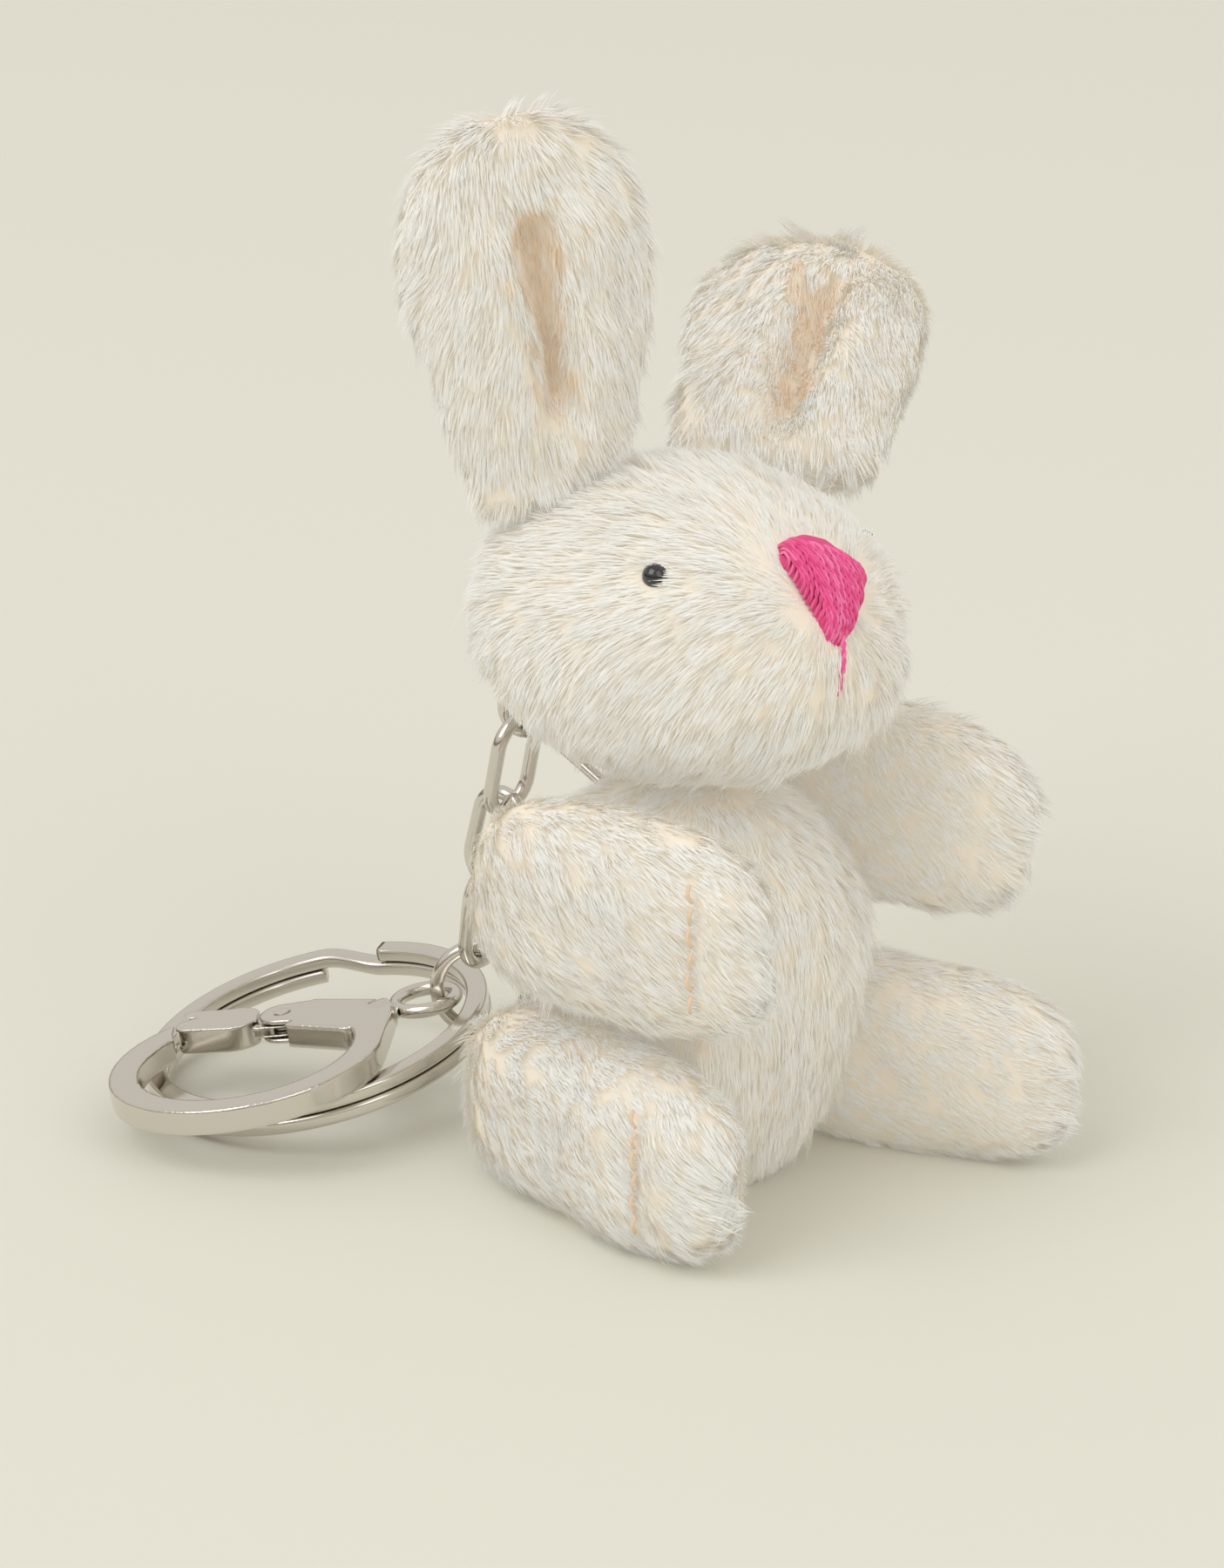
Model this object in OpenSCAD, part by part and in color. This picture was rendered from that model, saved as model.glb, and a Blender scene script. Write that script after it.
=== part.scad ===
// Plush rabbit keychain: disc-jointed stuffed toy, short chain, lobster clasp and split ring.
// Millimetres. +Z is up and the toy sits on z = 0, facing -Y, so its right side is -X.
// The origin is the middle of the flat seat under the torso.

/* [Torso] */
// Largest radius of the torso
torso_r = 15.2; // [14:0.1:15.4]
// Height of the widest part of the torso
torso_mid_z = 20.5; // [19:0.1:21]
// Height of the torso's rounded upper half
torso_up = 15.3; // [14:0.1:15.3]
// Depth of the lower half, before the seat cuts it flat
torso_down = 22.5; // [21.5:0.1:23]

/* [Head] */
// Largest radius of the head
head_r = 18.2; // [17:0.1:18.2]
// Half of the head's height
head_h = 13.4; // [12.5:0.1:13.4]
// Height of the middle of the head
head_z = 49.7; // [49.7:0.1:51]
// How far the head is turned towards the toy's right
head_turn = 8; // [0:1:12]
// How far the head leans towards the toy's left
head_roll = 5; // [0:0.5:5]
// How far the head nods forward
head_nod = 4; // [0:0.5:4]

/* [Limbs] */
// Radius of the rounded edges of an arm, half of its thickness
arm_r = 4.3; // [3.8:0.1:4.3]
// Distance from the torso's axis to the middle of an arm
arm_out = 18.8; // [18.8:0.1:20]
// Radius of the rounded edges of a leg, half of its thickness
leg_r = 5.2; // [4.8:0.1:5.2]
// Distance from the torso's axis to the middle of the right leg
right_leg_out = 14; // [13.8:0.1:15]
// Distance from the torso's axis to the middle of the left leg
left_leg_out = 13; // [12.8:0.1:14]
// Angle by which the right leg points outwards
right_splay = 14; // [12:1:16]
// Angle by which the left leg points outwards
left_splay = 10; // [8:1:12]

/* [Ears] */
// Length of an ear from its base to its tip
ear_len = 32; // [28:0.5:34]
// Width of an ear at its widest
ear_w = 20; // [16:0.5:20]
// Half of an ear's thickness
ear_r = 2.6; // [2.2:0.1:2.8]

/* [Metal] */
// Diameter of the chain's wire
wire_d = 1.3; // [1:0.05:1.4]
// Distance from one chain link to the next
pitch = 7.75; // [7.75:0.01:7.75]
// Width of a chain link over its wires
link_w = 6.4; // [6:0.1:6.6]
// Outer diameter of the jump ring that joins chain, clasp and split ring
jump_d = 9.4; // [9.3:0.05:9.6]
// Outer diameter of the split ring
ring_d = 32; // [32:0.1:32]
// Width of the split ring's flat wire, seen from above
ring_band = 2; // [1.6:0.1:2]
// Height of both turns of the split ring together
ring_t = 2.8; // [2.4:0.1:2.8]
// Thickness of the clasp
clasp_t = 2.4; // [2:0.1:2.4]

/* [Hidden] */
LIMBS = ["right_arm", "left_arm", "right_leg", "left_leg"];
LINKS = [for (i = [1:3]) str("chain_link_", i)];

CREAM = [0.95, 0.92, 0.85];
FILLING = [0.97, 0.97, 0.96];
PLASTIC = [0.85, 0.85, 0.83];
NICKEL = [0.74, 0.71, 0.66];
PINK = [0.9, 0.25, 0.5];
THREAD = [0.93, 0.8, 0.72];
cloth = 1;          // thickness of the pile fabric
gap = 0.12;         // space between a cover and its filling
shank_r = 1.1;      // joint disc's shank
bore_gap = 0.05;    // running clearance of a shank in its washer
disc_r = 3.1;       // joint disc
washer_r = 2.6;     // washer and lock of a joint
lock_r = 2;
plate = 0.9;        // thickness of a joint's disc, washer and lock
wire_r = wire_d / 2;
mesh = 24;          // facets round a hull's spheres

// ---- frames ----
function unit(v) = v / norm(v);
// Puts the children's x axis along x and their z axis near z, at a point.
module place(at, x, z) {
    ux = unit(x);
    uz = unit(z - (z * ux) * ux);
    uy = cross(uz, ux);
    multmatrix([[ux.x, uy.x, uz.x, at.x], [ux.y, uy.y, uz.y, at.y], [ux.z, uy.z, uz.z, at.z], [0, 0, 0, 1]])
        children();
}
head_at = [0, 0.5, head_z];
module in_head() translate(head_at) rotate([head_nod, head_roll, -head_turn]) children();

// ---- torso ----
// Half of an egg outline: an upper and a lower quarter ellipse of their own heights, cut at a floor.
function egg(r, up, down, steps) =
    [for (i = [-steps:steps]) let (a = 90 * i / steps) [r * cos(a), (i < 0 ? down : up) * sin(a)]];
module egg_solid(r, up, down) rotate_extrude($fn = 72) polygon(egg(r, up, down, 12));
// The space a leg sweeps as it turns about its hip, seen along the hip's axis.
module leg_sweep(l, grow) {
    circle(r = 10.6 + grow, $fn = 60);
    polygon([[0, -30], [30, -30], [30, 9.4 + grow + 30 * tan(13)], [0, 9.4 + grow]]);
}
module torso_solid(inset) difference() {
    intersection() {
        translate([0, 0, torso_mid_z]) egg_solid(torso_r - inset, torso_up - inset, torso_down - inset);
        translate([0, 0, inset]) cylinder(r = torso_r, h = 60, $fn = 72);
    }
    for (l = ["right_leg", "left_leg"])
        place(joint_at(l) + (pocket_from(l) - inset) * joint_way(l), limb_way(l), [0, 0, 1])
            rotate([90, 0, 0]) mirror([0, 0, side_of(l) < 0 ? 0 : 1]) linear_extrude(20) leg_sweep(l, inset);
}

// The five disc joints: a point on the torso's axis, the way out, where the washer sits and the limb's wall.
function splay(side, a) = [side * cos(a), sin(a), 0];
function is_arm(l) = l == "right_arm" || l == "left_arm";
function side_of(l) = l == "right_arm" || l == "right_leg" ? -1 : 1;
function joint_way(l) =
    l == "neck" ? [0, 0, 1] : is_arm(l) ? [side_of(l), 0, 0]
    : splay(side_of(l), l == "right_leg" ? right_splay : left_splay);
function limb_way(l) = cross(joint_way(l), [0, 0, side_of(l)]);
// How far a leg's hip sits in front of the torso's middle.
function hip_x(l) = l == "right_leg" ? -2.5 : 5;
hip_z = 8.6;
function joint_at(l) = l == "neck" ? [0, 0.5, 0] : is_arm(l) ? [0, 0, 28.6] : hip_x(l) * limb_way(l) + [0, 0, hip_z];
function limb_r(l) = is_arm(l) ? arm_r : leg_r;
function limb_out(l) = is_arm(l) ? arm_out : l == "right_leg" ? right_leg_out : left_leg_out;
pocket_gap = 0.35;  // space between a leg and its pocket in the torso
function pocket_from(l) = limb_out(l) - leg_r - pocket_gap;
function washer_from(l) = l == "neck" ? 33.2 : is_arm(l) ? 8.1 : pocket_from(l) - cloth - gap - plate;
function disc_from(l) = l == "neck" ? 38.3 : limb_out(l) - limb_r(l) + cloth + gap;
module along(l) place(joint_at(l), joint_way(l), l == "neck" ? [0, -1, 0] : [0, 0, 1]) rotate([0, 90, 0]) children();
JOINTS = concat(["neck"], LIMBS);

module joint_disc(l) color(PLASTIC) along(l) {
    translate([0, 0, disc_from(l)]) cylinder(r = disc_r, h = plate, $fn = 48);
    translate([0, 0, washer_from(l) - plate - 0.5])
        cylinder(r = shank_r, h = disc_from(l) - washer_from(l) + plate + 0.5, $fn = 32);
}
module joint_washer(l) along(l) translate([0, 0, washer_from(l)]) difference() {
    cylinder(r = washer_r, h = plate, $fn = 48);
    translate([0, 0, -1]) cylinder(r = shank_r + bore_gap, h = plate + 2, $fn = 32);
}
module joint_lock(l) color(NICKEL) along(l) translate([0, 0, washer_from(l) - plate - 0.1]) difference() {
    cylinder(r = lock_r, h = plate, $fn = 36);
    translate([0, 0, -1]) cylinder(r = shank_r + 0.01, h = plate + 2, $fn = 32);
}
// Room for a joint inside a cover or a filling.
module shank_hole(l) along(l) cylinder(r = shank_r + 0.4, h = 60, $fn = 32);
module washer_pocket(l) along(l)
    translate([0, 0, washer_from(l) - plate - 0.9]) cylinder(r = washer_r + 0.3, h = 12, $fn = 48);
module disc_pocket(l) along(l)
    translate([0, 0, disc_from(l) - 6]) cylinder(r = disc_r + 0.3, h = 6 + plate + 0.3, $fn = 48);

// The eye pin at the back of the neck: a wire loop whose shank goes through the cover to a washer.
pin_wire = 0.55;
loop_r = 2;
loop_at = [0, 18.55, 37.76];
pin_way = unit([0, 0.88, 0.47]);
pin_length = 13.5;
pin_end = loop_at - (loop_r + pin_length) * pin_way;
module eye_pin_shank(r, extra) place(pin_end, pin_way, [1, 0, 0])
    rotate([0, 90, 0]) translate([0, 0, -extra]) cylinder(r = r, h = pin_length + extra, $fn = 24);
module neck_eye_pin() color(NICKEL) {
    eye_pin_shank(pin_wire, 0);
    place(loop_at, [0, 1, 0], [1, 0, 0]) rotate_extrude($fn = 48) translate([loop_r, 0]) circle(r = pin_wire, $fn = 20);
}
module eye_pin_washer() color(NICKEL) place(pin_end + 0.6 * pin_way, pin_way, [1, 0, 0]) rotate([0, 90, 0])
    difference() {
        cylinder(r = 1.8, h = 0.6, $fn = 32);
        translate([0, 0, -1]) cylinder(r = pin_wire + 0.02, h = 3, $fn = 24);
    }

module torso_cover() color(CREAM) difference() {
    torso_solid(0);
    torso_solid(cloth);
    for (l = JOINTS) shank_hole(l);
    eye_pin_shank(pin_wire + 0.2, 0);
}
module torso_stuffing() color(FILLING) difference() {
    torso_solid(cloth + gap);
    for (l = JOINTS) {
        shank_hole(l);
        washer_pocket(l);
    }
    eye_pin_shank(2.1, 0.6);
}
module joint_washers() color(PLASTIC) for (l = JOINTS) joint_washer(l);

// ---- head ----
eye_r = 1.3;
nose_lift = 7;
module head_solid(inset) egg_solid(head_r - inset, head_h - inset, head_h - inset);
module eye_bead(side, r) rotate([0, 0, side * 58]) translate([0, -15.2, 7.6]) sphere(r = r, $fn = 32);
// A flat outline pushed back through the face, then kept only in a skin on the head's surface.
module on_face(proud) intersection() {
    difference() {
        head_solid(-proud);
        head_solid(-0.05);
    }
    rotate([90, 0, 0]) linear_extrude(40) children();
}
nose_turn = -14;
module nose_outline() translate([0, nose_lift]) rotate(nose_turn) translate([0, -nose_lift]) hull() {
    for (side = [-1, 1]) translate([side * 2.3, nose_lift + 1.4]) circle(r = 1.5, $fn = 24);
    translate([0, nose_lift - 3.4]) circle(r = 0.9, $fn = 24);
}
module mouth_outline() {
    translate([-0.3, -5.4]) square([0.6, 8]);
    for (side = [-1, 1]) mirror([side < 0 ? 1 : 0, 0]) translate([0.1, -5.3]) rotate(38) square([3, 0.6]);
}
module head_cover() color(CREAM) difference() {
    in_head() difference() {
        head_solid(0);
        head_solid(cloth);
        for (side = [-1, 1]) eye_bead(side, eye_r + 0.03);
    }
    shank_hole("neck");
}
module head_stuffing() color(FILLING) difference() {
    in_head() difference() {
        head_solid(cloth + gap);
        for (side = [-1, 1]) eye_bead(side, eye_r + 0.03);
    }
    disc_pocket("neck");
}
module right_eye() color([0.02, 0.02, 0.02]) in_head() eye_bead(-1, eye_r);
module left_eye() color([0.02, 0.02, 0.02]) in_head() eye_bead(1, eye_r);
module nose_embroidery() color(PINK) in_head() on_face(1.2) nose_outline();
module mouth_stitches() color(PINK) in_head() on_face(0.5) mouth_outline();

// ---- ears: a rounded slab, its x axis along the ear and its y axis across it ----
EARS = [[[-7.64, 8.1, 61.6], [-0.115, 0.085, 0.99], [0.79, -0.597, 0.142], 0.35],
        [[15.1, 3, 58.5], [0.82, 0.4, 0.41], [0.469, -0.879, -0.081], 0.1]];
module ear_solid(i, inset) place(EARS[i][0], EARS[i][1], cross(EARS[i][1], EARS[i][2])) hull() {
    for (side = [-1, 1]) {
        translate([ear_r + EARS[i][3] * side * 5, side * 5, 0]) sphere(r = ear_r - inset, $fn = mesh);
        translate([ear_len * 0.42, side * (ear_w / 2 - ear_r - 0.5), 0]) sphere(r = ear_r - inset, $fn = mesh);
        translate([ear_len * 0.7, side * (ear_w / 2 - ear_r - 0.2), 0]) sphere(r = ear_r - inset, $fn = mesh);
        translate([ear_len * 0.88, side * (ear_w / 2 - ear_r - 2.6), 0]) sphere(r = ear_r - inset, $fn = mesh);
    }
    translate([ear_len - ear_r, 0, 0]) sphere(r = ear_r - inset, $fn = mesh);
}
module ear_cover(i) color(CREAM) difference() {
    ear_solid(i, 0);
    ear_solid(i, cloth);
}
module ear_padding(i) color(FILLING) ear_solid(i, cloth + gap);

// ---- arms and legs: a rounded slab, its x axis towards the paw, z up and y to the toy's left ----
// Middles of the slab's corner spheres, as distance towards the paw and height.
function corners(l) = is_arm(l)
    ? [[-3.4, 26.4], [-3, 33], [17.6, 25.8], [17.2, 34.2]]
    : [for (c = [[-3.4, leg_r + 0.05], [-3, 11.2], [20, leg_r + 0.05], [19.4, 11.2]]) [c.x + hip_x(l), c.y]];
function seam_x(l) = is_arm(l) ? 15.6 : hip_x(l) + 17.6;
module in_limb(l) place(limb_out(l) * joint_way(l), limb_way(l), [0, 0, 1]) children();
module limb_solid(l, inset) in_limb(l) hull()
    for (c = corners(l)) translate([c.x, 0, c.y]) sphere(r = limb_r(l) - inset, $fn = mesh);
// Stitches in a row across the outer side of the paw.
module seam(l, r) {
    side = side_of(l);
    low = is_arm(l) ? 25.2 : 4;
    for (i = [0:4]) in_limb(l) translate([seam_x(l), side * (limb_r(l) - 0.12), low + 1.9 * i]) cylinder(r = r, h = 1.4, $fn = 16);
}
module limb_cover(l) color(CREAM) difference() {
    limb_solid(l, 0);
    limb_solid(l, cloth);
    shank_hole(l);
    seam(l, 0.28);
}
module limb_stuffing(l) color(FILLING) difference() {
    limb_solid(l, cloth + gap);
    disc_pocket(l);
}
module limb_seam(l) color(THREAD) seam(l, 0.24);

// ---- chain: each link is an oval of wire, its x axis along the link and its y axis across it ----
JUMPS = [[0, 18.7, 36.35], [0.1, 20.4, 28.8], [0.2, 22.5, 21.35], [0.3, 23.5, 13.65]];
ACROSS = [[1, 0, 0], [0, 1, 0], [1, 0, 0]];
bend_r = (link_w - wire_d) / 2;
play = 0.05;        // space between two links where they hang on each other
// A wire oval: two half turns joined by two straight wires.
module oval(length, bend) {
    straight = length - 2 * bend;
    for (end = [-1, 1]) {
        translate([end * straight / 2, 0, 0]) rotate([0, 0, -90 * end])
            rotate_extrude(angle = 180, $fn = 48) translate([bend, 0]) circle(r = wire_r, $fn = 20);
        translate([-straight / 2, end * bend, 0]) rotate([0, 90, 0]) cylinder(r = wire_r, h = straight, $fn = 20);
    }
}
module chain_link(i) color(NICKEL) {
    a = JUMPS[i];
    b = JUMPS[i + 1];
    place((a + b) / 2, b - a, cross(b - a, ACROSS[i])) oval(pitch + wire_d + play, bend_r);
}
jump_across = unit([-0.55, 0.835, 0]);
jump_r = (jump_d - wire_d) / 2;
jump_at = JUMPS[3] - [0.1, 0, jump_r - wire_r - play];
module jump_ring() color(NICKEL) place(jump_at, jump_across, cross(jump_across, [0, 0, 1]))
    rotate_extrude($fn = 72) translate([jump_r, 0]) circle(r = wire_r, $fn = 24);

// ---- clasp: its x axis runs from the swivel eye to the end of the hook, y across, z through it ----
clasp_at = [-2.65, 27.72, 9.1];
clasp_x = [-0.925, 0.358, -0.148];
clasp_z = [0.107, -0.138, -1];
hook_x = 18.2;      // middle of the round hook
hook_r = 12.4;
hook_in = 9.7;
lever_at = [11.3, 6.3];
tip_at = [18.7, 10.9];
pin_r = 0.6;
slot_t = 1.3;       // height of the lever's slot in the body
module in_clasp() place(clasp_at, clasp_x, clasp_z) children();
module slab(h) translate([0, 0, -h / 2]) linear_extrude(h) children();
module clasp_outline() hull() {
    translate([hook_x, 0]) circle(r = hook_r, $fn = 96);
    translate([7.1, 0]) circle(r = 3.4, $fn = 48);
}
// The side of the clasp that the lever closes, as far as its tip turns about the pin.
lever_sweep = 10;
module lever_side() intersection() {
    translate(lever_at) circle(r = lever_sweep, $fn = 120);
    translate(lever_at) polygon([[-3.05, -2.35], [1.2, -2.75], [10, -1], [10, 20], [-6, 20]]);
}
module hook_hole() difference() {
    translate([hook_x, 0]) circle(r = hook_in, $fn = 96);
    polygon([[0, -2.4], [9.4, -2.4], [12.5, 3.2], [20, 30], [0, 30]]);
}
module clasp_body() color(NICKEL) in_clasp() difference() {
    union() {
        slab(clasp_t) difference() {
            clasp_outline();
            hook_hole();
            lever_side();
        }
        // cheeks that hold the lever's pin
        slab(clasp_t) intersection() {
            clasp_outline();
            hull() {
                translate(lever_at) circle(r = 2.1, $fn = 36);
                translate(lever_at - [3.6, 3]) circle(r = 2.6, $fn = 36);
            }
        }
        translate([3.6, 0, 0]) rotate([0, 90, 0]) cylinder(r = 1.5, h = 1.6, $fn = 32);
    }
    slab(slot_t) translate(lever_at) circle(r = 3.1, $fn = 36);
    slab(slot_t) hull() {
        translate(lever_at) circle(r = 2.4, $fn = 36);
        translate(tip_at) circle(r = 2.4, $fn = 36);
    }
    translate([lever_at.x, lever_at.y, -5]) cylinder(r = pin_r + 0.01, h = 10, $fn = 32);
    // bore for the swivel's shank, and room for its head
    translate([3, 0, 0]) rotate([0, 90, 0]) cylinder(r = 0.85, h = 3.4, $fn = 32);
    translate([5.6, -2, -1.1]) cube([2, 4, 4]);
}
eye_hole = 2.1;
eye_wire = 0.65;
module clasp_swivel_eye() color(NICKEL) in_clasp() {
    rotate_extrude($fn = 60) translate([eye_hole + eye_wire, 0]) circle(r = eye_wire, $fn = 24);
    translate([3.1, 0, 0]) rotate([0, 90, 0]) cylinder(r = 0.75, h = 2.9, $fn = 32);
    translate([5.75, 0, 0]) rotate([0, 90, 0]) cylinder(r = 1, h = 0.6, $fn = 32);
}
module lever_shape() {
    difference() {
        intersection() {
            clasp_outline();
            hull() {
                translate(tip_at - [0.2, -0.2]) circle(r = 1.2, $fn = 32);
                translate(lever_at + [3.6, 2.6]) circle(r = 2.4, $fn = 32);
            }
        }
        translate(lever_at) circle(r = 2.3, $fn = 36);
    }
}
module clasp_lever() color(NICKEL) in_clasp() difference() {
    union() {
        slab(clasp_t) lever_shape();
        slab(clasp_t) hull() {
            translate(lever_at + [3.4, 4.4]) circle(r = 0.8, $fn = 24);
            translate(lever_at + [5.8, 6.9]) circle(r = 0.8, $fn = 24);
        }
        slab(slot_t - 0.24) hull() {
            translate(lever_at) circle(r = 1.9, $fn = 36);
            translate(lever_at + [3.2, 2.4]) circle(r = 1.4, $fn = 36);
        }
    }
    slab(0.62) translate(lever_at) circle(r = 2.4, $fn = 36);
    translate([lever_at.x, lever_at.y, -5]) cylinder(r = pin_r + 0.06, h = 10, $fn = 32);
}
module lever_pin() color(NICKEL) in_clasp()
    translate([lever_at.x, lever_at.y, -clasp_t / 2]) cylinder(r = pin_r, h = clasp_t, $fn = 32);
module lever_spring() color(NICKEL) in_clasp() translate([lever_at.x, lever_at.y, 0])
    for (turn = [-1, 1]) translate([0, 0, turn * 0.135])
        rotate_extrude($fn = 48) translate([pin_r + 0.35, 0]) circle(r = 0.13, $fn = 16);

// ---- split ring: two flat turns, joined by a step where the wire climbs from one to the other ----
ring_slope = 13.6;
ring_low = unit([-0.829, 0.559, 0]);
ring_at = [-8.2, 35.8, ring_d / 2 * sin(ring_slope) + ring_t / 2 * cos(ring_slope) + 0.15];
ring_x = [ring_low.x * cos(ring_slope), ring_low.y * cos(ring_slope), -sin(ring_slope)];
step = 22;
turn_gap = 0.1;
turn_t = (ring_t - turn_gap) / 2;
module turn_section(inset) {
    c = 0.3;
    w = ring_band - 2 * inset;
    h = turn_t - 2 * inset;
    translate([ring_d / 2 - ring_band + inset, inset]) polygon([[c, 0], [w - c, 0], [w, c], [w, h - c], [w - c, h], [c, h], [0, h - c], [0, c]]);
}
module turn(low) translate([0, 0, low]) rotate([0, 0, step]) rotate_extrude(angle = 360 - step, $fn = 120) turn_section(0);
// A slice of the wire inside the step, a little thinner than the turns it joins.
module thin_slice(a, low) rotate([0, 0, a]) translate([0, 0, low]) rotate_extrude(angle = 1, $fn = 360) turn_section(0.06);
module split_ring() color(NICKEL) place(ring_at, ring_x, [0, 0, 1]) rotate([0, 0, 230]) {
    turn(-ring_t / 2);
    turn(turn_gap / 2);
    for (i = [0:4]) hull() {
        thin_slice(-2 + (step + 3) * i / 5, -ring_t / 2 + (turn_t + turn_gap) * i / 5);
        thin_slice(-2 + (step + 3) * (i + 1) / 5, -ring_t / 2 + (turn_t + turn_gap) * (i + 1) / 5);
    }
}

// ---- what is drawn ----
torso_cover();
torso_stuffing();
joint_washers();
neck_eye_pin();
eye_pin_washer();
head_cover();
head_stuffing();
right_eye();
left_eye();
nose_embroidery();
mouth_stitches();
joint_disc("neck");  // neck_joint_disc
joint_lock("neck");  // neck_joint_lock
ear_cover(0);  // right_ear_cover
ear_padding(0);  // right_ear_padding
ear_cover(1);  // left_ear_cover
ear_padding(1);  // left_ear_padding
for (l = LIMBS) {
    limb_cover(l);
    limb_stuffing(l);
    joint_disc(l);
    joint_lock(l);
    limb_seam(l);
}
for (i = [0:2]) chain_link(i);
jump_ring();
clasp_body();
clasp_swivel_eye();
clasp_lever();
lever_pin();
lever_spring();
split_ring();
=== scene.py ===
"""Looks for the plush rabbit keychain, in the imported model's frame.

Shapes are worked out in millimetres and stored in metres."""

import math

import bpy
import numpy as np
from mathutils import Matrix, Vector, noise


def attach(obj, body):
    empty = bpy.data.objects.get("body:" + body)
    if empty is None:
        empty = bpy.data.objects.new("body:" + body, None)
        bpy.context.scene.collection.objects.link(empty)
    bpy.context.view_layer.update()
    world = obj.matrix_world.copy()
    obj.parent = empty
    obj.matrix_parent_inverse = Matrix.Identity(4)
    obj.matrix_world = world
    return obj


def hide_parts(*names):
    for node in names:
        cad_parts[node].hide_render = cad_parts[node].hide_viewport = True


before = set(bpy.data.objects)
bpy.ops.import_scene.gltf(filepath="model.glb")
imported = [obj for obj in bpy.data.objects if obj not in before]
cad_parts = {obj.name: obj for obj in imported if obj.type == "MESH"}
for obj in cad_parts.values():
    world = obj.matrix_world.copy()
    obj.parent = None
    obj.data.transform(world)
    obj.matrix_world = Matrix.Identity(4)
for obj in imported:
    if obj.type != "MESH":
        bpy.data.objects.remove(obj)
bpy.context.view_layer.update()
MM = 0.001


# ---------------------------------------------------------------- vectors and frames
def vec(*v):
    return np.array(v, float)


def unit(v):
    v = np.asarray(v, float)
    return v / np.maximum(np.linalg.norm(v, axis=-1, keepdims=True), 1e-12)


def smooth(x, low, high):
    """0 below low, 1 above high, and a soft step between."""
    t = np.clip((x - low) / (high - low), 0, 1)
    return t * t * (3 - 2 * t)


class Place:
    """A local frame: its x axis along x, its z axis near z, as in the CAD source."""

    def __init__(self, at, x, z):
        ux = unit(x)
        uz = unit(np.asarray(z, float) - np.dot(z, ux) * ux)
        self.at, self.axes = np.asarray(at, float), np.array([ux, np.cross(uz, ux), uz])

    def out(self, p):
        return np.asarray(p) @ self.axes + self.at

    def turn(self, v):
        return np.asarray(v) @ self.axes

    def into(self, p):
        return (np.asarray(p) - self.at) @ self.axes.T


def rotation(x, y, z):
    """Turns by degrees about X, then Y, then Z, as a matrix for column vectors."""
    a, b, c = np.radians([x, y, z])
    rx = np.array([[1, 0, 0], [0, math.cos(a), -math.sin(a)], [0, math.sin(a), math.cos(a)]])
    ry = np.array([[math.cos(b), 0, math.sin(b)], [0, 1, 0], [-math.sin(b), 0, math.cos(b)]])
    rz = np.array([[math.cos(c), -math.sin(c), 0], [math.sin(c), math.cos(c), 0], [0, 0, 1]])
    return rz @ ry @ rx


# ---------------------------------------------------------------- the CAD's sizes, in millimetres
HEAD_R, HEAD_H = 18.2, 13.4
HEAD_TURN = rotation(4, 5, -8)
HEAD = Place([0, 0.5, 49.7], HEAD_TURN @ vec(1, 0, 0), HEAD_TURN @ vec(0, 0, 1))
TORSO_R, TORSO_Z, TORSO_UP, TORSO_DOWN = 15.2, 20.5, 15.3, 22.5
ARM_OUT, LEG_R = 18.8, 5.2
HIP_Z, POCKET_GAP = 8.6, 0.35
LEGS = {
    "right_leg": dict(side=-1, out=14, splay=14, hip=-2.5),
    "left_leg": dict(side=1, out=13, splay=10, hip=5),
}
EARS = {
    "right_ear": ([-7.64, 8.1, 61.6], [-0.115, 0.085, 0.99], [0.79, -0.597, 0.142], 0.35),
    "left_ear": ([15.1, 3, 58.5], [0.82, 0.4, 0.41], [0.469, -0.879, -0.081], 0.1),
}
EAR_LEN = 32
EAR_RINGS, EAR_AROUND = 150, 96


# ---------------------------------------------------------------- materials
def material(name, color, rough=0.9, metal=0.0, sheen=0.0, coat=0.0, specular=0.3, glow=0.0):
    m = bpy.data.materials.new(name)
    m.use_nodes = True
    p = m.node_tree.nodes["Principled BSDF"]
    p.inputs["Base Color"].default_value = (*color, 1)
    p.inputs["Roughness"].default_value = rough
    p.inputs["Metallic"].default_value = metal
    p.inputs["Specular IOR Level"].default_value = specular
    p.inputs["Sheen Weight"].default_value = sheen
    p.inputs["Sheen Roughness"].default_value = 0.5
    p.inputs["Coat Weight"].default_value = coat
    p.inputs["Emission Color"].default_value = (*color, 1)
    p.inputs["Emission Strength"].default_value = glow
    return m


# Light that scatters from fibre to fibre inside the pile, as a faint glow of its own colour.
GLOW = 0.11
# The padded base's warm tan is the backing cloth's colour and also painted warm shade deep in the pile.
SKIN = material("pile_ground", (0.86, 0.79, 0.68), sheen=0.1, glow=GLOW)
# The root colour, for the fibres' lower halves, is warmer and a little darker than the tips: painted shade
# deep in the pile.
PILE = [
    material("pile_root", (0.875, 0.84, 0.765), sheen=0.1, glow=GLOW),
    material("pile_white", (0.87, 0.875, 0.86), sheen=0.15, glow=GLOW),
    material("pile_cream", (0.865, 0.86, 0.825), sheen=0.15, glow=GLOW),
    material("pile_shade", (0.86, 0.84, 0.785), sheen=0.15, glow=GLOW),
    # Painted shade: the peach pile along the ears' folds.
    material("pile_fold_shade", (0.88, 0.76, 0.62), sheen=0.1, glow=GLOW),
]
ROOT, WHITE, CREAM, SHADE, FOLD_SHADE = range(5)
NICKEL = material("nickel", (0.70, 0.665, 0.61), rough=0.16, metal=1.0)
STEEL = material("spring_wire", (0.5, 0.48, 0.45), rough=0.3, metal=1.0)
EYE = material("eye_bead", (0.006, 0.006, 0.007), rough=0.12, coat=1.0, specular=0.5)
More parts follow.
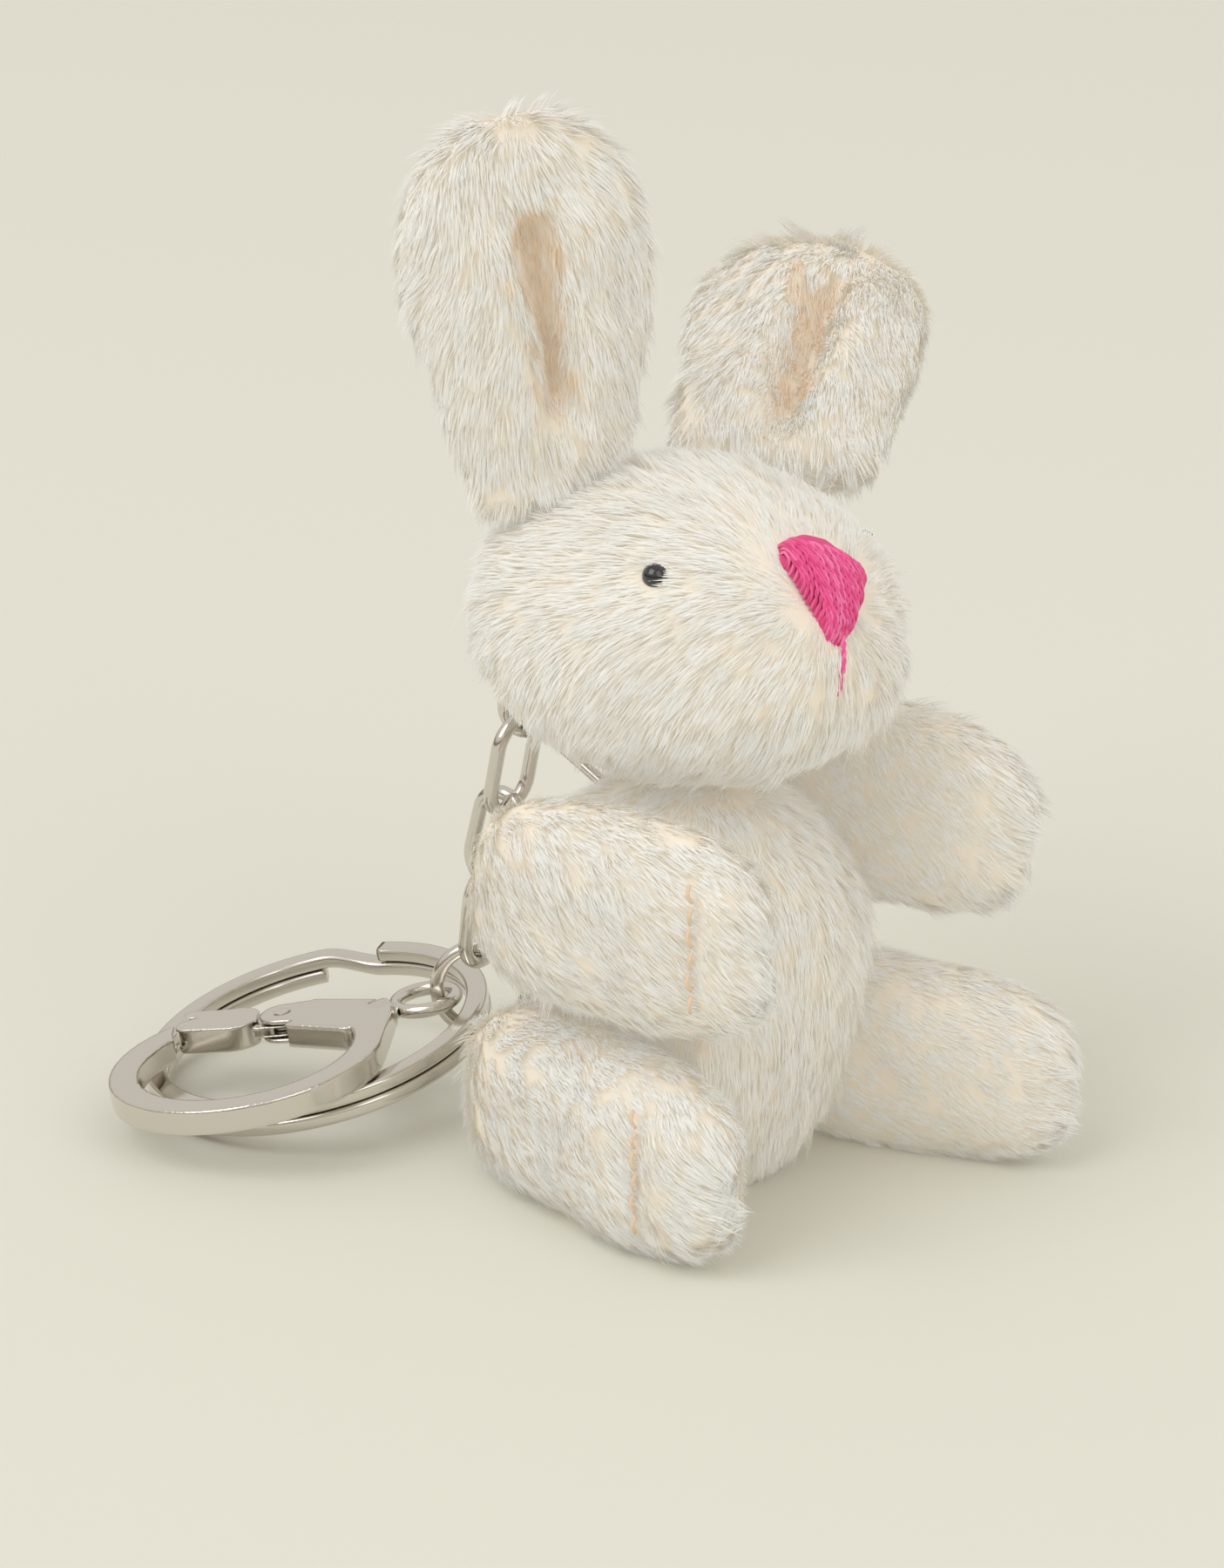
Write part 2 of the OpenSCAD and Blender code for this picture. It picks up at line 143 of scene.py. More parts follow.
# The light and deep pinks are lit and shaded copies of the thread's pink: painted highlight and shade,
# scattered over the threads at random.
PINKS = [
    material("nose_thread", (0.92, 0.115, 0.36), rough=0.55, sheen=0.3),
    material("nose_thread_light", (0.95, 0.21, 0.47), rough=0.5, sheen=0.3),
    material("nose_thread_deep", (0.80, 0.07, 0.26), rough=0.6, sheen=0.2),
]
STITCH = material("seam_thread", (0.88, 0.66, 0.48), rough=0.7, sheen=0.3)


# ---------------------------------------------------------------- meshes
def make(name, points, faces, mats, index=None, normals=None, shade=True):
    """A mesh object from points in millimetres. faces is a list of arrays, each with one row a face."""
    me = bpy.data.meshes.new(name)
    points = np.asarray(points, float)
    loops = np.concatenate([f.ravel() for f in faces]).astype(np.int32)
    sizes = np.concatenate([np.full(len(f), f.shape[1]) for f in faces])
    me.vertices.add(len(points))
    me.vertices.foreach_set("co", (points * MM).astype(np.float32).ravel())
    me.loops.add(len(loops))
    me.loops.foreach_set("vertex_index", loops)
    me.polygons.add(len(sizes))
    me.polygons.foreach_set("loop_start", np.concatenate([[0], np.cumsum(sizes)[:-1]]).astype(np.int32))
    for m in mats:
        me.materials.append(m)
    if index is not None:
        me.polygons.foreach_set("material_index", np.asarray(index, np.int32))
    me.polygons.foreach_set("use_smooth", np.full(len(sizes), shade))
    me.update(calc_edges=True)
    me.validate()
    if normals is not None:
        me.normals_split_custom_set_from_vertices([tuple(n) for n in normals.tolist()])
    ob = bpy.data.objects.new(name, me)
    bpy.context.scene.collection.objects.link(ob)
    return ob


def sphere_points(level):
    bpy.ops.mesh.primitive_ico_sphere_add(subdivisions=level, radius=1)
    ob = bpy.context.object
    co = np.zeros(len(ob.data.vertices) * 3)
    ob.data.vertices.foreach_get("co", co)
    faces = np.array([p.vertices[:] for p in ob.data.polygons])
    bpy.data.objects.remove(ob)
    return unit(co.reshape(-1, 3)), faces


SPHERE, SPHERE_FACES = sphere_points(6)


def lattice(rows, cols, wrap_rows=False, wrap_cols=True):
    """Quads over points stored row by row. A wrapped way joins its last line of points to its first."""
    i = np.arange(rows if wrap_rows else rows - 1)[:, None]
    j = np.arange(cols if wrap_cols else cols - 1)[None]
    ahead, beside = (i + 1) % rows, (j + 1) % cols
    corners = [i * cols + j, i * cols + beside, ahead * cols + beside, ahead * cols + j]
    return np.stack(corners, -1).reshape(-1, 4)


def tube(path, radius, sides=8, closed=False):
    """Points and quads of a round wire along a path."""
    path = np.asarray(path, float)
    count = len(path)
    if closed:
        ahead = unit(np.roll(path, -1, 0) - np.roll(path, 1, 0))
    else:
        ahead = unit(np.gradient(path, axis=0))
    start = vec(0, 0, 1) if abs(ahead[0][2]) < 0.9 else vec(1, 0, 0)
    side = [unit(np.cross(ahead[0], start))]
    for a in ahead[1:]:
        side.append(unit(side[-1] - np.dot(side[-1], a) * a))
    side = np.array(side)
    other = np.cross(ahead, side)
    turn = np.arange(sides) * 2 * np.pi / sides
    radius = np.broadcast_to(radius, count)[:, None, None]
    across = np.cos(turn)[None, :, None] * side[:, None]
    upright = np.sin(turn)[None, :, None] * other[:, None]
    ring = path[:, None] + radius * (across + upright)
    return ring.reshape(-1, 3), lattice(count, sides, wrap_rows=closed)


def tubes(name, paths, radius, mats, index=None, sides=6, closed=False):
    """Many wires in one mesh, with a flat cap on each open end."""
    points, quads, caps, mat, cap_mat, base = [], [], [], [], [], 0
    for n, path in enumerate(paths):
        p, f = tube(path, radius, sides, closed)
        points.append(p)
        quads.append(f + base)
        which = 0 if index is None else index[n]
        mat += [which] * len(f)
        if not closed:
            caps.append(np.arange(sides)[::-1] + base)
            caps.append(np.arange(sides) + base + len(p) - sides)
            cap_mat += [which, which]
        base += len(p)
    faces = [np.concatenate(quads)] + ([np.array(caps)] if caps else [])
    return make(name, np.concatenate(points), faces, mats, mat + cap_mat)


# ---------------------------------------------------------------- padded shapes
def fuzz(points, scale, seed):
    """Smooth noise vectors, one for each point."""
    off = Vector((seed * 7.3, seed * 3.1, -seed * 5.7))
    vectors = [noise.noise_vector(Vector(p) * scale + off)[:] for p in np.asarray(points).tolist()]
    return np.array(vectors)


def lumps(points, normals, size, depth, seed):
    """Soft unevenness of stuffing."""
    off = Vector((seed * 5.1, -seed * 2.3, seed * 9.7))
    n = np.array([noise.noise(Vector(p) / size + off) for p in points.tolist()])
    return points + normals * (n * depth)[:, None]


def egg(p):
    """Sphere directions to the torso's outline, sat flat on the floor."""
    up = np.where(p[:, 2] > 0, TORSO_UP, TORSO_DOWN)
    q = p * np.stack([np.full(len(p), TORSO_R), np.full(len(p), TORSO_R), up], 1) + vec(0, 0, TORSO_Z)
    q[:, 2] = np.maximum(q[:, 2], 0.25)
    return q


def leg_way(leg):
    a = math.radians(leg["splay"])
    return vec(leg["side"] * math.cos(a), math.sin(a), 0), vec(leg["side"] * math.sin(a), -math.cos(a), 0)


OUTSIDE = -99
REACH, TOP, TOP_SLOPE = 10.6, 9.4, 13


def in_sweep(p, leg, grow):
    """How far the torso's points stand into the space that a leg turns in, or OUTSIDE if they are clear."""
    way, ahead = leg_way(leg)
    x, z = p @ ahead - leg["hip"], p[:, 2] - HIP_Z
    reach = np.hypot(x, z) < REACH + grow
    front = (x > 0) & (z < TOP + grow + x * math.tan(math.radians(TOP_SLOPE)))
    return np.where(reach | front, p @ way - (leg["out"] - LEG_R - POCKET_GAP), OUTSIDE)


def torso_shape():
    p = lumps(egg(SPHERE), unit(SPHERE), 9, 0.7, 3)
    p[:, 2] = np.maximum(p[:, 2], 0.25)
    for leg in LEGS.values():
        way, _ = leg_way(leg)
        p = p - np.maximum(in_sweep(p, leg, 0), 0)[:, None] * way
    return p


def mound(p, x, z, wide, high):
    """1 at x and z on the face, and falling away from there."""
    return np.exp(-(((p[:, 0] - x) / wide) ** 2) - ((p[:, 2] - z) / high) ** 2)


def head_shape():
    p = SPHERE * vec(HEAD_R, HEAD_R, HEAD_H) * 0.985
    front = smooth(-p[:, 1], 4, 16)
    muzzle = mound(p, 0, -2.5, 8.5, 6.5) * front
    cheek = sum(mound(p, s * 11.5, -4, 6, 5.5) for s in (-1, 1)) * front
    p = p + SPHERE * (1.3 * muzzle + 0.8 * cheek)[:, None]
    p[:, 1] -= 0.5 * muzzle
    return HEAD.out(lumps(p, SPHERE, 8, 0.6, 5))


def slab_shape(mid, half, side, groove_x, seed, floor=None):
    """A padded mitten: rounded outline in x and z, plump in y, with a sewn groove across its outer face."""
    u = SPHERE
    flat = (np.abs(u[:, 0] / half[0]) ** 3.0 + np.abs(u[:, 2] / half[2]) ** 3.0) ** (2.2 / 3.0)
    r = (flat + np.abs(u[:, 1] / half[1]) ** 2.2) ** (-1 / 2.2)
    p = u * r[:, None]
    out = p * vec(1, side, 1)
    outer = smooth(out[:, 1], 0.5, 2.0)
    span = 1 - smooth(np.abs(p[:, 2]), half[2] * 0.5, half[2] * 0.8)
    dip = np.exp(-(((p[:, 0] + mid[0] - groove_x) / 0.75) ** 2)) * outer * span
    lip = np.exp(-(((p[:, 0] + mid[0] - groove_x - 2.2) / 1.6) ** 2)) * outer * span
    p[:, 1] += side * (0.45 * lip - 0.35 * dip)
    p = lumps(p, u, 7, 0.6, seed) + mid
    if floor is not None:
        p[:, 2] = np.maximum(p[:, 2], floor)
    return p


def limb(name):
    side = -1 if name.startswith("right") else 1
    if name.endswith("arm"):
        place = Place([side * ARM_OUT, 0, 0], [0, -1, 0], [0, 0, 1])
        mid, half, seam, floor = vec(7.1, 0, 30), vec(15, 4.6, 8.8), 17.3, None
    else:
        leg = LEGS[name]
        way, ahead = leg_way(leg)
        place = Place(leg["out"] * way, ahead, [0, 0, 1])
        mid, half, seam, floor = vec(leg["hip"] + 8.3, 0, 8.35), vec(17.1, 5.4, 8.5), leg["hip"] + 18.6, 0.3
    # In the limb's own frame the body is on one side of y, and the outer face on the other.
    outer = side
    p = slab_shape(mid, half, outer, seam, len(name) + side, floor)
    return place, p, seam, outer


def ear_bend(name, s):
    """How far the ear's fold lies to one side of its middle, at a share s of its length."""
    return 0.9 * (1 - s) if name == "right_ear" else 1.6 * s


def ear_shape(name):
    """An ear as rings of points from base to tip: a padded leaf whose two sides roll in over a deep fold."""
    at, way, across, slant = EARS[name]
    place = Place(at, way, np.cross(way, across))
    upright = name == "right_ear"
    s = np.linspace(0, 1, EAR_RINGS)[:, None]
    a = np.linspace(0, 2 * np.pi, EAR_AROUND, endpoint=False)[None]
    base = 6.9 if upright else 8.6
    wide = base + (10.2 - base) * smooth(s, 0.0, 0.62)
    ends = np.clip(1 - np.clip((0.085 - s) / 0.085, 0, 1) ** 2.2, 0, 1) ** 0.5
    ends = ends * np.clip(1 - np.clip((s - 0.66) / 0.34, 0, 1) ** 2.3, 0, 1) ** 0.5
    half = wide * ends
    thick = (3.0 + 0.5 * smooth(s, 0, 0.5)) * ends
    y = half * np.sign(np.cos(a)) * np.abs(np.cos(a)) ** 0.9
    z = thick * np.sign(np.sin(a)) * np.abs(np.sin(a)) ** 0.8
    x = s * EAR_LEN + slant * y * (1 - smooth(s, 0.05, 0.45))
    front = smooth(-np.sin(a), 0.05, 0.6)
    bent = ear_bend(name, s)
    width = 1.15 + 0.6 * smooth(s, 0.45, 0.78) if upright else 1.6
    fold = smooth(s, 0.14, 0.34) if upright else smooth(s, -0.05, 0.3)
    fold = fold * (1 - smooth(s, 0.70, 0.84))
    deep = fold * np.exp(-(((y - bent) / width) ** 2)) * front
    lips = np.exp(-(((y - bent - 3.9) / 2.3) ** 2)) + np.exp(-(((y - bent + 3.9) / 2.3) ** 2))
    z = z + (4.3 if upright else 3.4) * deep - 1.1 * (fold * lips * front)
    p = np.stack([x + 0 * y, y, z], -1).reshape(-1, 3)
    p = lumps(p, unit(p * vec(0, 1, 1) + 1e-6), 6, 0.5, 11)
    return place, p, lattice(EAR_RINGS, EAR_AROUND)


# ---------------------------------------------------------------- the pile
def surface(ob):
    me = ob.data
    me.calc_loop_triangles()
    v = np.zeros(len(me.vertices) * 3)
    me.vertices.foreach_get("co", v)
    n = np.zeros(len(me.vertices) * 3)
    me.vertex_normals.foreach_get("vector", n)
    t = np.zeros(len(me.loop_triangles) * 3, np.int32)
    me.loop_triangles.foreach_get("vertices", t)
    return v.reshape(-1, 3) / MM, n.reshape(-1, 3), t.reshape(-1, 3)


# A tuft's fibres and how they spread, in millimetres and in shares of a fibre's length.
BLADES = 12
TUFT_R, ROOT_DEPTH, TIP_SPREAD, TIP_STRAY = 0.8, 0.2, 0.75, 0.1
BLADE_LEN, BLADE_HALF, BLADE_BOW, BLADE_WAIST = (0.7, 1.12), (0.045, 0.075), 0.09, 0.85
TUFT_LEN, TUFT_LIFT = (0.7, 1.15), (0.12, 0.30)
STRAY_SHARE, STRAY_LIFT = 0.05, 0.3
WHITE_SHARE, CREAM_SHARE = 0.45, 0.6
TUFT_TILT, BLADE_TILT = 0.10, 0.08
FLOOR_CLEAR = 0.06
COUNT_SHARE, WIDEN = ((1, 1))
TUFTS, EAR_TUFTS = 1.6, 1.7
LONG_PILE, LIMB_PILE = 2.8, 2.6


def scatter(rng, base, density):
    """Points spread evenly by chance over a mesh, with its normals there."""
    v, n, t = surface(base)
    corner = v[t]
    area = np.linalg.norm(np.cross(corner[:, 1] - corner[:, 0], corner[:, 2] - corner[:, 0]), axis=1) / 2
    count = int(area.sum() * density * COUNT_SHARE)
    pick = rng.choice(len(t), count, p=area / area.sum())
    a, b = rng.random(count), rng.random(count)
    over = a + b > 1
    a[over], b[over] = 1 - a[over], 1 - b[over]
    w = np.stack([1 - a - b, a, b], 1)[:, :, None]
    return (corner[pick] * w).sum(1), unit((n[t[pick]] * w).sum(1))


def pile(name, base, body, density, length, flow, keep=None, tone=None, short=None, rise=None, seed=1):
    """Combed tufts of tapering fibres over a padded base. density is in tufts a square millimetre.

    flow, keep, short and rise take points and normals, and give a direction, a choice, a length factor
    and an added lift. tone also takes the shades and the random source, and gives the new shades."""
    rng = np.random.default_rng(seed)
    c, m = scatter(rng, base, density)
    if keep is not None:
        ok = keep(c, m)
        c, m = c[ok], m[ok]
    count = len(c)
    way = flow(c, m) + 0.55 * fuzz(c, 0.13, seed) + 0.3 * fuzz(c, 0.45, seed + 3)
    way = unit(way - (way * m).sum(1, keepdims=True) * m)
    size = length * rng.uniform(*TUFT_LEN, count)
    if short is not None:
        size = size * short(c, m)
    lift = rng.uniform(*TUFT_LIFT, count) + STRAY_LIFT * (rng.random(count) < STRAY_SHARE)
    if rise is not None:
        lift = lift + rise(c, m)
    white = rng.random(count) < WHITE_SHARE
    shade = np.where(white, WHITE, np.where(rng.random(count) < CREAM_SHARE, CREAM, SHADE))
    if tone is not None:
        shade = tone(c, m, shade, rng)
    side = np.cross(m, way)
    angle = rng.uniform(0, 2 * np.pi, (count, BLADES, 1))
    reach = TUFT_R * np.sqrt(rng.random((count, BLADES, 1)))
    offset = reach * (np.cos(angle) * way[:, None] + np.sin(angle) * side[:, None])
    root = c[:, None] + offset - ROOT_DEPTH * m[:, None]
    long = size[:, None, None] * rng.uniform(*BLADE_LEN, (count, BLADES, 1))
    top = lift[:, None, None] * long
    tip = c[:, None] + TIP_SPREAD * offset + long * way[:, None] + top * m[:, None]
    tip = tip + rng.normal(0, TIP_STRAY, (count, BLADES, 3))
    middle = root + 0.5 * (tip - root) + (BLADE_BOW * long) * m[:, None]
    total = count * BLADES
    root, middle, tip = root.reshape(total, 3), middle.reshape(total, 3), tip.reshape(total, 3)
    normal = np.repeat(m, BLADES, 0)
    across = unit(np.cross(unit(tip - root), normal))
    wide = rng.uniform(*BLADE_HALF, total)[:, None] * WIDEN
    edge, waist = wide * across, BLADE_WAIST * wide * across
    points = np.stack([root - edge, root + edge, middle + waist, middle - waist, tip], 1)
    points[:, :, 2] = np.maximum(points[:, :, 2], FLOOR_CLEAR)
    s = np.arange(total)[:, None] * 5
    lower, upper = s + [0, 1, 2, 3], s + [3, 2, 4]
    # Painted shade deep in the pile: each fibre's lower half takes the warmer root colour, or the ears' fold
    # colour in the folds.
    tuft = np.repeat(shade, BLADES)
    under = np.where(tuft == FOLD_SHADE, FOLD_SHADE, ROOT)
    mats = np.concatenate([under, tuft])
    soft = normal + TUFT_TILT * np.repeat(rng.normal(0, 1, (count, 3)), BLADES, 0)
    soft = soft + BLADE_TILT * rng.normal(0, 1, (total, 3))
    normals = np.repeat(unit(soft), 5, 0)
    ob = make(name, points.reshape(-1, 3), [lower, upper], PILE, mats, normals)
    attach(ob, body)
    return ob


def padded(name, points, faces, body, nodes):
    ob = make(name, points, faces, [SKIN])
    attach(ob, body)
    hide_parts(*nodes)
    return ob


def down(c, m):
    return np.tile(vec(0, 0, -1.0), (len(c), 1))


# ---------------------------------------------------------------- torso
torso = padded("torso_body", torso_shape(), [SPHERE_FACES], "torso", ["torso_cover", "torso_stuffing"])


def torso_keep(c, m):
    return c[:, 2] > 0.6


def torso_short(c, m):
    """The pile is rubbed short in the pockets where the legs turn."""
    pocket = np.max([in_sweep(c, leg, 0.3) for leg in LEGS.values()], axis=0) > -0.5
    return np.where(pocket, 0.45, 1)


# Painted shade: more of the darker cream pile low on the torso.
def torso_tone(c, m, shade, rng):
    low = (c[:, 2] < 19) & (rng.random(len(c)) < 0.35)
    return np.where(low, SHADE, shade)


pile("torso_pile", torso, "torso", TUFTS, LONG_PILE, down, torso_keep, torso_tone, torso_short, seed=21)

# ---------------------------------------------------------------- head
NOSE_Z, NOSE_TURN, NOSE_HALF = 7.0, -14.0, 3.9
EYE_R, EYE_SUNK = 1.1, 0.6
EYE_OUT, EYE_UP, EYE_ANGLE = 15.2, 7.6, math.radians(58)
EYE_PLACES = [vec(EYE_OUT * math.sin(a), -EYE_OUT * math.cos(a), EYE_UP) for a in (-EYE_ANGLE, EYE_ANGLE)]


def head_front(x, z, proud=0.0):
    """The face's surface behind a point of its outline seen from the front."""
    y = -np.sqrt(np.maximum(1 - (x / HEAD_R) ** 2 - (z / HEAD_H) ** 2, 0)) * HEAD_R
    p = np.stack([x, y, z], -1)
    return p + proud[..., None] * unit(p / vec(HEAD_R, HEAD_R, HEAD_H) ** 2)


head = padded("head_body", head_shape(), [SPHERE_FACES], "head", ["head_cover", "head_stuffing"])


def head_flow(c, m):
    """Away from the nose, back over the crown and down the cheeks."""
    p = HEAD.into(c)
    away = p - vec(0, -17, 5)
    from_nose = unit(away) * smooth(np.linalg.norm(away, axis=1), 0, 8)[:, None]
    back = vec(0, 1, 0) * smooth(p[:, 2], -2, 9)[:, None]
    fall = vec(0, 0, -1) * (0.5 + 0.9 * smooth(-p[:, 2], -4, 8))[:, None]
    return HEAD.turn(0.9 * from_nose + 0.45 * back + fall)


def nose_plane(p):
    """Position in the nose's own upright outline: sideways and up from its middle."""
    a = math.radians(NOSE_TURN)
    x, z = p[..., 0], p[..., 2] - NOSE_Z
    return x * math.cos(a) + z * math.sin(a), -x * math.sin(a) + z * math.cos(a)


def nose_half(v):
    """Half of the nose's width at height v."""
    top = NOSE_HALF * np.sqrt(np.clip(1 - ((v - 0.9) / 2.2) ** 2, 0, 1))
    low = NOSE_HALF - (0.9 - v) * 0.62
    return np.where(v > 0.9, top, np.maximum(low * smooth(v, -4.6, -3.9), 0))


def from_eyes(p):
    """Distance to the nearer eye."""
    return np.min([np.linalg.norm(p - e, axis=1) for e in EYE_PLACES], axis=0)


def head_keep(c, m):
    """No pile under the nose or the eyes."""
    p = HEAD.into(c)
    u, v = nose_plane(p)
    nose = (p[:, 1] < 0) & (np.abs(u) < nose_half(v) - 0.2) & (v > -4.2) & (v < 3.0)
    return ~nose & ~(from_eyes(p) < EYE_R)


def head_short(c, m):
    """Shorter pile round the nose and the eyes."""
    p = HEAD.into(c)
    u, v = nose_plane(p)
    beside = np.exp(-np.maximum(np.abs(u) - nose_half(v), 0) ** 2 / 3)
    near_nose = (p[:, 1] < 0) * beside * smooth(v, -6, -3) * (1 - smooth(v, 3, 6))
    return (1 - 0.5 * near_nose) * (0.65 + 0.35 * smooth(from_eyes(p), 1.2, 3.6))


# Painted shade under the chin: more of the darker cream pile low on the head.
def head_tone(c, m, shade, rng):
    low = (c[:, 2] < 41) & (rng.random(len(c)) < 0.4)
    return np.where(low, SHADE, shade)


pile("head_pile", head, "head", TUFTS, LONG_PILE, head_flow, head_keep, head_tone, head_short, seed=22)
for name, at in zip(("right_eye", "left_eye"), EYE_PLACES):
    bead = HEAD.out(at - EYE_SUNK * unit(at) + EYE_R * SPHERE)
    ob = make(name + "_bead", bead, [SPHERE_FACES], [EYE])
    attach(ob, "head")
    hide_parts(name)

# ---------------------------------------------------------------- ears
def add_ear(seed, name):
    place, p, quads = ear_shape(name)
    caps = np.array([np.arange(EAR_AROUND)[::-1], np.arange(EAR_AROUND) + len(p) - EAR_AROUND])
    nodes = [name + "_cover", name + "_padding"]
    ob = padded(name + "_body", place.out(p), [quads, caps], name, nodes)

    def crease(c, width, back):
        """1 along the fold and 0 away from it. width takes the share of the ear's length."""
        q = place.into(c)
        s = q[:, 0] / EAR_LEN
        fold = smooth(s, 0.14, 0.34) * (1 - smooth(s, 0.72, 0.86)) * smooth(-q[:, 2], back, 0.2)
        return fold * np.exp(-(((q[:, 1] - ear_bend(name, s)) / width(s)) ** 2))

    def flow(c, m):
        """Towards the base, spreading from the middle."""
        q = place.into(c)
        return place.turn(np.stack([0 * q[:, 0] - 1, 0.045 * q[:, 1], 0 * q[:, 0]], 1))

    # Painted shade: the fold's peach pile where the ear's fold lies deep.
    def tone(c, m, shade, rng):
        deep = crease(c, lambda s: 1.3 + 1.0 * smooth(s, 0.45, 0.78), -2.2)
        return np.where(rng.random(len(c)) < deep * 1.3, FOLD_SHADE, shade)

    def short(c, m):
        return 1 - 0.55 * crease(c, lambda s: 1.5, -2.5)

    def rise(c, m):
        return 0.35 * smooth(place.into(c)[:, 0] / EAR_LEN, 0.88, 1.0)

    pile(name + "_pile", ob, name, EAR_TUFTS, LIMB_PILE, flow, None, tone, short, rise, seed=31 + seed)


for seed, name in enumerate(EARS):
    add_ear(seed, name)

# ---------------------------------------------------------------- arms and legs
STITCHES, STITCH_STEP, STITCH_LEN, STITCH_R = 6, 1.9, 1.45, 0.17


def add_stitches(name, place, seam, outer, low, thick):
    """A short row of sunk stitches across the paw, from low upwards."""
    t = np.linspace(0, 1, 9)
    y = outer * (thick - 0.75 + 0.35 * np.sin(np.pi * t))
    paths = []
    for i in range(STITCHES):
        x = seam + 0.15 * np.sin(3 * i + 2 * t)
        z = low + STITCH_STEP * i + STITCH_LEN * t
        paths.append(place.out(np.stack([x, y, z], 1)))
    ob = tubes(name + "_stitches", paths, STITCH_R, [STITCH])
    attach(ob, name)
    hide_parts(name + "_seam_stitches")


def add_limb(seed, name):
    place, p, seam, outer = limb(name)
    nodes = [name + "_cover", name + "_stuffing"]
    ob = padded(name + "_body", place.out(p), [SPHERE_FACES], name, nodes)
    is_leg = name.endswith("leg")

    def flow(c, m):
        """Along the limb, and turning down past the paw's seam."""
        q = place.into(c)
        along = np.tile(vec(1, 0, -0.35 if is_leg else -0.55), (len(q), 1))
        past = smooth(q[:, 0], seam - 0.6, seam + 0.6)[:, None] * smooth(q[:, 1] * outer, 0, 2)[:, None]
        return place.turn(along * (1 - past) + past * vec(0.9, 0, -0.6))

    def short(c, m):
        """Shorter beside the seam, and on the side that faces the body."""
        q = place.into(c)
        close = np.exp(-(((q[:, 0] - seam + 0.8) / 1.5) ** 2)) * smooth(q[:, 1] * outer, 0.5, 2.5)
        return 1 - 0.35 * close - 0.35 * smooth(-q[:, 1] * outer, 1.5, 3.5)

    def tone(c, m, shade, rng):
        """The right leg's pile is all white: painted light on the lit near leg."""
        return np.full(len(c), WHITE) if name == "right_leg" else shade

    pile(name + "_pile", ob, name, TUFTS, LIMB_PILE, flow, None, tone, short, seed=41 + seed)
    low, thick = (3.6, 5.4) if is_leg else (25.0, 4.6)
    add_stitches(name, place, seam, outer, low, thick)


for seed, name in enumerate(("right_arm", "left_arm", "right_leg", "left_leg")):
    add_limb(seed, name)

# ---------------------------------------------------------------- nose and mouth
THREADS, THREAD_R, THREAD_POINTS = 34, 0.115, 60
PLY_OFF, PLY_TURNS = 0.085, 5.2
PAD_ROWS, PAD_COLS = 61, 41
MOUTH_ASIDE, MOUTH_UP, MOUTH_PROUD, MOUTH_R, MOUTH_POINTS = -1.6, 1.0, 1.1, 0.14, 41


def on_face(u, v, proud):
    """Points of the nose's own outline, laid on the face and raised from it."""
    a = math.radians(NOSE_TURN)
    x = u * math.cos(a) - v * math.sin(a)
    z = u * math.sin(a) + v * math.cos(a) + NOSE_Z
    return HEAD.out(head_front(x, z, proud))


def add_nose():
    """Threads of two twisted plies, laid side by side."""
    rng = np.random.default_rng(7)
    paths, shades = [], []
    heights = np.linspace(-4.4, 3.1, 200)
    for i in range(THREADS):
        u = ((i + 0.5) / THREADS * 2 * NOSE_HALF - NOSE_HALF) * 0.985
        inside = heights[nose_half(heights) > abs(u)]
        if len(inside) < 6:
            continue
        v = np.linspace(inside[0], inside[-1], THREAD_POINTS)
        t = np.linspace(-1, 1, THREAD_POINTS)
        dome = 0.75 + 0.75 * np.sqrt(np.clip(1 - (u / (NOSE_HALF * 1.02)) ** 2, 0, 1)) * (1 - 0.75 * t**4)
        edge = np.sqrt(np.clip(1 - t**4, 0, 1))
        for ply in (0, 1):
            turn = v * PLY_TURNS + ply * np.pi + i * 1.7
            aside = u + PLY_OFF * np.cos(turn) + 0.12 * np.sin(v * 0.8 + i)
            paths.append(on_face(aside, v, dome * edge + PLY_OFF * np.sin(turn)))
            shades.append(int(rng.choice([0, 0, 1, 2])))
    ob = tubes("nose_satin_stitch", paths, THREAD_R, PINKS, shades, sides=6)
    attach(ob, "head")


def add_nose_pad():
    """The raised pad under the nose's threads."""
    aside, v = np.meshgrid(np.linspace(-1, 1, PAD_COLS), np.linspace(-4.5, 3.15, PAD_ROWS))
    half = nose_half(v)
    dome = 0.62 * np.sqrt(np.clip(1 - aside**4, 0, 1)) * np.clip(half / 1.5, 0, 1)
    dome = dome + 0.25 * (1 - np.abs(aside) ** 6) + 0.1
    points = on_face(aside * np.maximum(half - 0.05, 0.02), v, dome).reshape(-1, 3)
    # The pad takes the deep pink: painted shade between the threads.
    ob = make("nose_pad", points, [lattice(PAD_ROWS, PAD_COLS, wrap_cols=False)], [PINKS[2]])
    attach(ob, "head")
    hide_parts("nose_embroidery")


